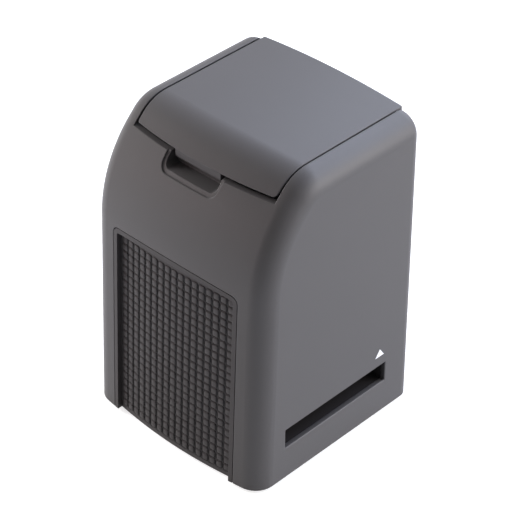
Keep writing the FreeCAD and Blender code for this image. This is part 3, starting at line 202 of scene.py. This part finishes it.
shade_low.operation = "SUBTRACT"
shade_low.inputs[0].default_value = 1.0
shade_high = skin.nodes.new("ShaderNodeMath")
shade_high.operation = "ADD"
shade_high.inputs[0].default_value = 1.0
tint = skin.nodes.new("ShaderNodeVectorMath")
tint.operation = "SCALE"
# Screens a pale grey over the colour along edges and creases: partly wear, partly a painted
# highlight.
worn_and_highlit = skin.nodes.new("ShaderNodeMix")
worn_and_highlit.data_type = "RGBA"
worn_and_highlit.blend_type = "SCREEN"
worn_and_highlit.inputs[7].default_value = wear_and_highlight_colour
matt = skin.nodes.new("ShaderNodeMapRange")
matt.inputs["To Min"].default_value = -matt_change
matt.inputs["To Max"].default_value = matt_change
rough = skin.nodes.new("ShaderNodeMath")
rough.operation = "ADD"
wire = skin.links.new
wire(skin_in.outputs["Grain size"], per_metre.inputs[1])
wire(place.outputs["Object"], grain.inputs["Vector"])
wire(per_metre.outputs[0], grain.inputs["Scale"])
wire(place.outputs["Object"], cloud.inputs["Vector"])
wire(skin_in.outputs["Corner"], bend.inputs["Radius"])
wire(grain.outputs["Fac"], bump.inputs["Height"])
wire(skin_in.outputs["Grain depth"], bump.inputs["Strength"])
wire(bend.outputs["Normal"], bump.inputs["Normal"])
wire(bend.outputs["Normal"], turn.inputs[0])
wire(face.outputs["Normal"], turn.inputs[1])
wire(turn.outputs["Value"], edge.inputs["Value"])
wire(skin_in.outputs["Shade"], shade_low.inputs[1])
wire(skin_in.outputs["Shade"], shade_high.inputs[1])
wire(cloud.outputs["Fac"], shade_range.inputs["Value"])
wire(shade_low.outputs[0], shade_range.inputs["To Min"])
wire(shade_high.outputs[0], shade_range.inputs["To Max"])
wire(skin_in.outputs["Colour"], tint.inputs[0])
wire(shade_range.outputs["Result"], tint.inputs["Scale"])
wire(edge.outputs["Result"], worn_and_highlit.inputs["Factor"])
wire(tint.outputs["Vector"], worn_and_highlit.inputs[6])
wire(cloud.outputs["Fac"], matt.inputs["Value"])
wire(skin_in.outputs["Roughness"], rough.inputs[0])
wire(matt.outputs["Result"], rough.inputs[1])
wire(worn_and_highlit.outputs[2], skin_out.inputs["Colour"])
wire(rough.outputs[0], skin_out.inputs["Roughness"])
wire(bump.outputs["Normal"], skin_out.inputs["Normal"])


def moulded(name, colour, roughness, grain_size=0.0004, grain_depth=0.3,
            corner=0.0004, shade=0.08, gloss=0.5):
    """A moulded plastic or rubber, with its grain's size and its corners' radius in metres."""
    stuff = bpy.data.materials.new(name)
    stuff.use_nodes = True
    tree = stuff.node_tree
    shader = tree.nodes["Principled BSDF"]
    shader.inputs["Specular IOR Level"].default_value = gloss
    surface = tree.nodes.new("ShaderNodeGroup")
    surface.node_tree = skin
    surface.inputs["Colour"].default_value = (*colour, 1)
    surface.inputs["Roughness"].default_value = roughness
    surface.inputs["Grain size"].default_value = grain_size
    surface.inputs["Grain depth"].default_value = grain_depth
    surface.inputs["Corner"].default_value = corner
    surface.inputs["Shade"].default_value = shade
    tree.links.new(surface.outputs["Colour"], shader.inputs["Base Color"])
    tree.links.new(surface.outputs["Roughness"], shader.inputs["Roughness"])
    tree.links.new(surface.outputs["Normal"], shader.inputs["Normal"])
    return stuff


def dress(stuff, *names):
    """Gives a material to pieces of the frame."""
    for name in names:
        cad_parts[name].material_slots[0].material = stuff


anthracite = (0.066, 0.0625, 0.064)
satin = 0.36
soft_corner = 0.0005
dress(moulded("case_plastic", anthracite, 0.5, corner=soft_corner, gloss=satin),
      "outer_shell", "rear_cover")
dress(moulded("lid_plastic", anthracite, 0.5, corner=soft_corner, gloss=satin), "lid_cover")


# Grip panel: its own insert in the lower front, in a blacker plastic. Rows of
# small square nubs with rounded edges are moulded on its sunk field, whose face
# bows to the front and leans back with the case.
MM = 0.001
nub_columns = 17
nub_rows = 24
nub_pitch = 3.77 * MM
nub_rise = 3.70 * MM
nub_gap_across = 0.55 * MM
nub_gap_down = 0.25 * MM
nub_tall = 0.42 * MM
nub_sunk = 0.3 * MM
nub_edge = 0.72 * MM
nub_steps = 3
nub_top = 92.4 * MM
bow_round = 230.4 * MM
bow_axis = 181.9 * MM
front_lean = math.radians(1.49)
foot_proud = 1.2 * MM
grip_plastic = moulded("grip_plastic", (0.045, 0.041, 0.042), 0.55, corner=0.0003, gloss=0.3)
dress(grip_plastic, "grip_panel")


def pick_faces(mesh_object, test):
    """Selects the faces whose middle and normal pass a test, in edit mode."""
    bpy.ops.object.mode_set(mode="OBJECT")
    for polygon in mesh_object.data.polygons:
        polygon.select = test(polygon.center, polygon.normal)
    bpy.ops.object.mode_set(mode="EDIT")


def settle_in_mesh(piece):
    """Puts a finished piece's place, turn and scale in its mesh."""
    bpy.ops.object.select_all(action="DESELECT")
    piece.select_set(True)
    bpy.context.view_layer.objects.active = piece
    bpy.ops.object.transform_apply(location=True, rotation=True, scale=True)


bpy.ops.object.select_all(action="DESELECT")
bpy.ops.mesh.primitive_cube_add(size=1.0)
nubs = bpy.context.object
nubs.name = "grip_nubs"
nubs.scale = (nub_pitch - nub_gap_across, nub_tall + nub_sunk, nub_rise - nub_gap_down)
nubs.location = (
    0,
    bow_axis - bow_round + (nub_sunk - nub_tall) / 2,
    nub_top - nub_rise * (nub_rows - 0.5),
)
settle_in_mesh(nubs)
bpy.ops.object.mode_set(mode="EDIT")
bpy.ops.mesh.select_mode(type="FACE")
pick_faces(nubs, lambda middle, normal: normal.y < -0.9)
bpy.ops.mesh.bevel(offset=nub_edge, segments=nub_steps, affect="EDGES")
pick_faces(nubs, lambda middle, normal: normal.y > 0.9)
bpy.ops.mesh.delete(type="FACE")
bpy.ops.object.mode_set(mode="OBJECT")
column = nubs.modifiers.new("column", "ARRAY")
column.count = nub_rows
column.use_relative_offset = False
column.use_constant_offset = True
column.constant_offset_displace = (0, 0, nub_rise)
bpy.ops.object.modifier_apply(modifier="column")
turn_step = nub_pitch / bow_round
columns = [nubs]
for index in range(1, nub_columns):
    copy = nubs.copy()
    copy.data = nubs.data.copy()
    bpy.context.scene.collection.objects.link(copy)
    columns.append(copy)
for index, copy in enumerate(columns):
    angle = (index - (nub_columns - 1) / 2) * turn_step
    about = Matrix.Translation((0, bow_axis, 0))
    copy.matrix_world = about @ Matrix.Rotation(angle, 4, "Z") @ about.inverted()
bpy.ops.object.select_all(action="DESELECT")
for copy in columns:
    copy.select_set(True)
bpy.context.view_layer.objects.active = nubs
bpy.ops.object.join()
nubs = bpy.context.object
settle_in_mesh(nubs)
lean_about = Matrix.Translation((0, bow_axis - bow_round, foot_proud))
nubs.matrix_world = lean_about @ Matrix.Rotation(-front_lean, 4, "X") @ lean_about.inverted()
settle_in_mesh(nubs)
bpy.ops.object.shade_smooth_by_angle(angle=math.radians(40))
nubs.data.materials.append(grip_plastic)
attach(nubs, "housing")


# Arrow mark: a small triangle over the back end of the film slot. It is printed
# on the right side in white ink, and shows which way the film goes in.
mark_low = 32.4 * MM
mark_high = 36.3 * MM
mark_front = 24.75 * MM
mark_back = 30.1 * MM
ink_thick = 0.04 * MM
side_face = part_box("outer_shell")[1].x
bpy.ops.object.select_all(action="DESELECT")
bpy.ops.mesh.primitive_circle_add(
    vertices=3, radius=1.0, fill_type="NGON", rotation=(math.pi / 2, 0, math.pi / 2))
mark = bpy.context.object
mark.name = "arrow_mark"
settle_in_mesh(mark)
low_z = min(v.co.z for v in mark.data.vertices)
high_z = max(v.co.z for v in mark.data.vertices)
wide_y = max(v.co.y for v in mark.data.vertices) - min(v.co.y for v in mark.data.vertices)
mark.scale = (1, (mark_back - mark_front) / wide_y, (mark_high - mark_low) / (high_z - low_z))
mark.location = (side_face, (mark_front + mark_back) / 2, mark_low - low_z * mark.scale.z)
settle_in_mesh(mark)
bpy.ops.object.mode_set(mode="EDIT")
bpy.ops.mesh.select_all(action="SELECT")
bpy.ops.mesh.extrude_region_move(TRANSFORM_OT_translate={"value": (ink_thick, 0, 0)})
bpy.ops.mesh.select_all(action="SELECT")
bpy.ops.mesh.normals_make_consistent(inside=False)
bpy.ops.object.mode_set(mode="OBJECT")
mark.data.materials.append(moulded("white_ink", (0.85, 0.86, 0.87), 0.55, corner=0.00002, shade=0.02))
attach(mark, "housing")


# Base: the moulded plate that closes the case from below, held by four screws,
# and the soft rubber feet that are pressed into it.
dress(moulded("base_plastic", (0.04, 0.04, 0.043), 0.6), "base_plate")
dress(moulded("foot_rubber", (0.03, 0.03, 0.03), 0.85, grain_size=0.0008, gloss=0.25),
      "foot_front_left", "foot_front_right", "foot_back_left", "foot_back_right")


# Inside mouldings: matt black round the film and the light path, white where
# the lamps shine, and natural nylon for the hinge's washers.
dress(moulded("inner_plastic", (0.014, 0.0125, 0.013), 0.85, gloss=0.2),
      "film_guide_lower", "film_guide_upper", "optics_tower", "lens_mount")
dress(moulded("white_plastic", (0.82, 0.83, 0.84), 0.6, shade=0.03), "light_box")
dress(moulded("diffuser_acrylic", (0.86, 0.87, 0.88), 0.35, grain_depth=0.1, shade=0.02), "diffuser")
dress(moulded("washer_nylon", (0.72, 0.71, 0.68), 0.45), "hinge_washer_left", "hinge_washer_right")


# Deck under the lid, with six moulded keys that slide in its holes, and the
# bezel that holds the display in the lid.
dress(moulded("deck_plastic", (0.055, 0.057, 0.061), 0.42), "deck_panel", "lid_bezel")
dress(moulded("key_plastic", (0.32, 0.33, 0.35), 0.35, grain_depth=0.15),
      "left_key", "ok_key", "right_key", "power_key", "scan_key", "mode_key")


# Small parts on the boards: resin bodies of chips, switches, lamps and the video
# jack, and the amber film of the display's ribbon.
dress(moulded("chip_resin", (0.02, 0.02, 0.022), 0.6), "board_chips", "key_switches")
dress(moulded("jack_resin", (0.03, 0.03, 0.032), 0.5), "video_jack")
dress(moulded("lamp_resin", (0.85, 0.8, 0.55), 0.25, grain_depth=0.05), "backlight_lamps")
dress(moulded("ribbon_film", (0.5, 0.27, 0.07), 0.3, grain_depth=0.05), "display_ribbon")


# Metal pieces: blackened screws, drawn hinge pins, pressed socket shells, the
# display's frame and the turned lens barrel.
streak_scale = 1500.0
streak_high = 0.00002
streak_dim = 0.85
smooth_share = 0.8
rough_share = 1.25


def metal(name, colour, roughness, brush=(1, 1, 1)):
    """A metal whose roughness and shine run in fine streaks along one way."""
    stuff = bpy.data.materials.new(name)
    stuff.use_nodes = True
    tree = stuff.node_tree
    shader = tree.nodes["Principled BSDF"]
    shader.inputs["Metallic"].default_value = 1.0
    where = tree.nodes.new("ShaderNodeTexCoord")
    stretch = tree.nodes.new("ShaderNodeMapping")
    stretch.inputs["Scale"].default_value = brush
    streak = tree.nodes.new("ShaderNodeTexNoise")
    streak.inputs["Scale"].default_value = streak_scale
    streak.inputs["Detail"].default_value = 3.0
    spread = tree.nodes.new("ShaderNodeMapRange")
    spread.inputs["To Min"].default_value = roughness * smooth_share
    spread.inputs["To Max"].default_value = roughness * rough_share
    ramp = tree.nodes.new("ShaderNodeMix")
    ramp.data_type = "RGBA"
    ramp.inputs[6].default_value = (*[part * streak_dim for part in colour], 1)
    ramp.inputs[7].default_value = (*colour, 1)
    relief = tree.nodes.new("ShaderNodeBump")
    relief.inputs["Distance"].default_value = streak_high
    relief.inputs["Strength"].default_value = 0.25
    link = tree.links.new
    link(where.outputs["Object"], stretch.inputs["Vector"])
    link(stretch.outputs["Vector"], streak.inputs["Vector"])
    link(streak.outputs["Fac"], spread.inputs["Value"])
    link(spread.outputs["Result"], shader.inputs["Roughness"])
    link(streak.outputs["Fac"], ramp.inputs["Factor"])
    link(ramp.outputs[2], shader.inputs["Base Color"])
    link(streak.outputs["Fac"], relief.inputs["Height"])
    link(relief.outputs["Normal"], shader.inputs["Normal"])
    return stuff


dress(metal("screw_steel", (0.16, 0.16, 0.165), 0.4), "base_screws", "sensor_screws", "board_screws",
      "deck_screws", "key_screws", "bezel_screws")
dress(metal("pin_steel", (0.6, 0.6, 0.61), 0.22, brush=(0.1, 1, 1)),
      "hinge_pin_left", "hinge_pin_right")
dress(metal("socket_steel", (0.62, 0.62, 0.63), 0.3, brush=(1, 0.1, 1)), "card_socket", "usb_socket")
dress(metal("display_steel", (0.5, 0.5, 0.52), 0.35), "display_panel")
dress(metal("barrel_metal", (0.05, 0.05, 0.055), 0.4), "lens_barrel")


# Circuit boards: green solder resist over a faint weave, with the copper's
# tracks standing out a shade lighter.
tracks_scale = 420.0
tracks_high = 0.00003
board = bpy.data.materials.new("circuit_board")
board.use_nodes = True
board_tree = board.node_tree
board_shader = board_tree.nodes["Principled BSDF"]
board_shader.inputs["Roughness"].default_value = 0.35
board_where = board_tree.nodes.new("ShaderNodeTexCoord")
tracks = board_tree.nodes.new("ShaderNodeTexBrick")
tracks.inputs["Scale"].default_value = tracks_scale
tracks.inputs["Color1"].default_value = (0.02, 0.17, 0.07, 1)
tracks.inputs["Color2"].default_value = (0.025, 0.2, 0.085, 1)
tracks.inputs["Mortar"].default_value = (0.012, 0.11, 0.045, 1)
board_tree.links.new(board_where.outputs["Object"], tracks.inputs["Vector"])
board_tree.links.new(tracks.outputs["Color"], board_shader.inputs["Base Color"])
board_relief = board_tree.nodes.new("ShaderNodeBump")
board_relief.inputs["Distance"].default_value = tracks_high
board_tree.links.new(tracks.outputs["Fac"], board_relief.inputs["Height"])
board_tree.links.new(board_relief.outputs["Normal"], board_shader.inputs["Normal"])
dress(board, "backlight_board", "sensor_board", "main_board", "key_board", "display_driver")


# Glass: the coated lens elements, the sensor's cover and the display's window,
# ground and polished, with a thin coat.
wipe_scale = 90.0


def glazing(name, colour, roughness, clear):
    """A polished pane, with faint wipe marks in its gloss."""
    stuff = bpy.data.materials.new(name)
    stuff.use_nodes = True
    tree = stuff.node_tree
    shader = tree.nodes["Principled BSDF"]
    shader.inputs["Base Color"].default_value = (*colour, 1)
    shader.inputs["Transmission Weight"].default_value = clear
    shader.inputs["Coat Weight"].default_value = 0.5
    where = tree.nodes.new("ShaderNodeTexCoord")
    wipe = tree.nodes.new("ShaderNodeTexNoise")
    wipe.inputs["Scale"].default_value = wipe_scale
    spread = tree.nodes.new("ShaderNodeMapRange")
    spread.inputs["To Min"].default_value = roughness
    spread.inputs["To Max"].default_value = roughness * 2
    tree.links.new(where.outputs["Object"], wipe.inputs["Vector"])
    tree.links.new(wipe.outputs["Fac"], spread.inputs["Value"])
    tree.links.new(spread.outputs["Result"], shader.inputs["Roughness"])
    return stuff


dress(glazing("lens_glass", (0.8, 0.85, 0.9), 0.02, 0.9), "lens_lower", "lens_upper")
dress(glazing("sensor_glass", (0.08, 0.1, 0.14), 0.08, 0.0), "image_sensor")
dress(glazing("display_glass", (0.012, 0.012, 0.015), 0.05, 0.0), "display_window")
